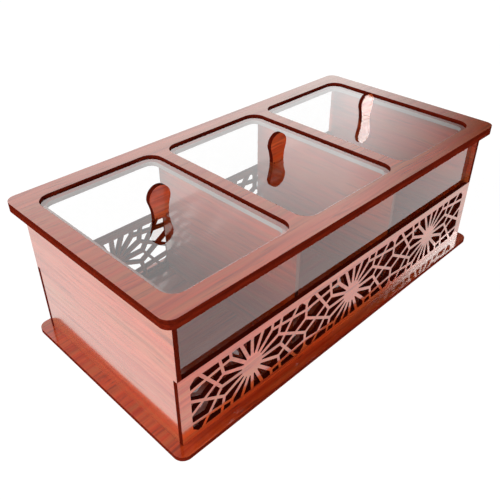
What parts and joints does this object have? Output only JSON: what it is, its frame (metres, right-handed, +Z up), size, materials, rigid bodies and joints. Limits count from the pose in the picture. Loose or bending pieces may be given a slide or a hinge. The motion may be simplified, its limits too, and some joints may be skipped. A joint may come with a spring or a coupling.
{
  "type": "serving box",
  "caption": "Oblong wooden serving box for nuts or sweets, with clear windows and lift-off lids over its compartments and pierced strapwork panels along the front and back.",
  "frame": {"origin": "middle of the base plate's underside, on the surface that the box stands on", "axes": "+X along the long side, to the right as seen from the front; +Y from the front to the back; +Z up"},
  "size_m": [0.3, 0.15, 0.1175],
  "materials": {
    "wood": "gloss varnish over red-brown wood grain, with dark laser-cut edges",
    "clear_sheet": "polished clear acrylic"
  },
  "bodies": {
    "box": {"base_plate": "wood", "left_side_panel": "wood", "right_side_panel": "wood", "front_fretwork": "wood", "back_fretwork": "wood", "front_window": "clear_sheet", "back_window": "clear_sheet", "divider_1": "wood", "divider_2": "wood", "ledge_frame": "wood", "top_frame": "wood"},
    "lid_1": {"lid_1_pane": "clear_sheet", "lid_1_tab": "wood"},
    "lid_2": {"lid_2_pane": "clear_sheet", "lid_2_tab": "wood"},
    "lid_3": {"lid_3_pane": "clear_sheet", "lid_3_tab": "wood"}
  },
  "joints": [
    {"name": "lift_lid_1", "type": "slide", "parent": "box", "child": "lid_1", "axis": [0, 0, 1], "range_m": [0, 0.04]},
    {"name": "lift_lid_2", "type": "slide", "parent": "box", "child": "lid_2", "axis": [0, 0, 1], "range_m": [0, 0.04]},
    {"name": "lift_lid_3", "type": "slide", "parent": "box", "child": "lid_3", "axis": [0, 0, 1], "range_m": [0, 0.04]}
  ]
}
